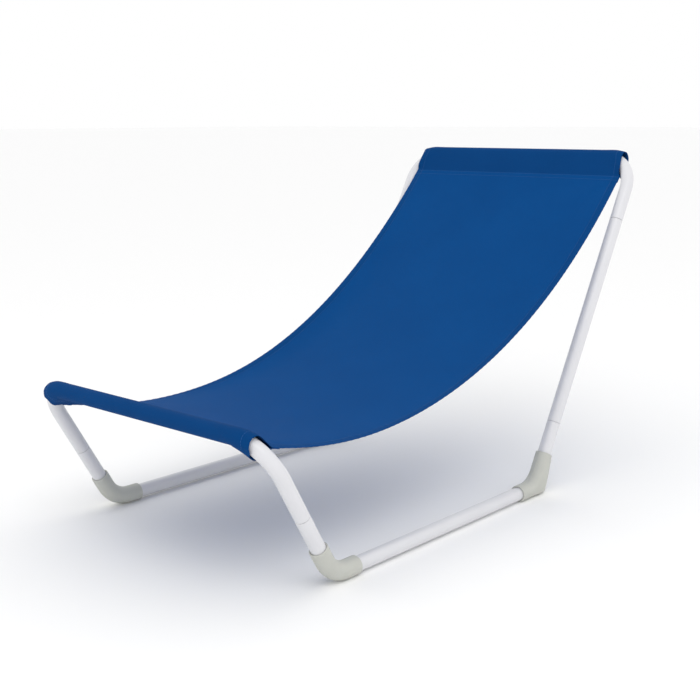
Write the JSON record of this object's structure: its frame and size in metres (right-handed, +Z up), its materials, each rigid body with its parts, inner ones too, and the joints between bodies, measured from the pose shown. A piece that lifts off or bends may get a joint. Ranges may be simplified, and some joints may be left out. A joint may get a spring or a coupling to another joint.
{
  "type": "beach chair",
  "caption": "Low beach lounger: a cloth sling hung between a foot bow and a head bow, on tubes that plug together over moulded elbows.",
  "frame": {"origin": "floor level, at the middle of the chair's length and width", "axes": "+Y from the feet to the head, +X to the left of a person lying in the chair, +Z up"},
  "size_m": [0.4606, 0.854, 0.507],
  "materials": {
    "coated_tube": "satin white powder coat",
    "moulded_grey": "matt moulded plastic",
    "sling_cloth": "plain woven polyester"
  },
  "bodies": {
    "base": {"side_rail_left": "coated_tube", "side_rail_right": "coated_tube", "front_leg_left": "coated_tube", "front_leg_right": "coated_tube", "rear_stub_left": "coated_tube", "rear_stub_right": "coated_tube", "front_elbow_left": "moulded_grey", "front_elbow_right": "moulded_grey", "rear_elbow_left": "moulded_grey", "rear_elbow_right": "moulded_grey", "sling": "sling_cloth"},
    "foot_bow": {"foot_bow": "coated_tube", "foot_sleeve": "sling_cloth"},
    "rear_post_left": {"rear_post_left": "coated_tube"},
    "rear_post_right": {"rear_post_right": "coated_tube"},
    "head_bow": {"head_bow": "coated_tube", "head_sleeve": "sling_cloth"}
  },
  "joints": [
    {"name": "foot_bow_lift", "type": "slide", "parent": "base", "child": "foot_bow", "axis": [0, -0.5, 0.866], "range_m": [0, 0.05]},
    {"name": "rear_post_left_lift", "type": "slide", "parent": "base", "child": "rear_post_left", "axis": [0, 0.4894, 0.8721], "range_m": [0, 0.05]},
    {"name": "rear_post_right_lift", "type": "slide", "parent": "base", "child": "rear_post_right", "axis": [0, 0.4894, 0.8721], "range_m": [0, 0.05]},
    {"name": "head_bow_lift", "type": "slide", "parent": "rear_post_left", "child": "head_bow", "axis": [0, 0.4894, 0.8721], "range_m": [0, 0.05]}
  ],
  "couplings": [
    {"joint": "rear_post_right_lift", "follows": "rear_post_left_lift", "ratio": 1}
  ]
}
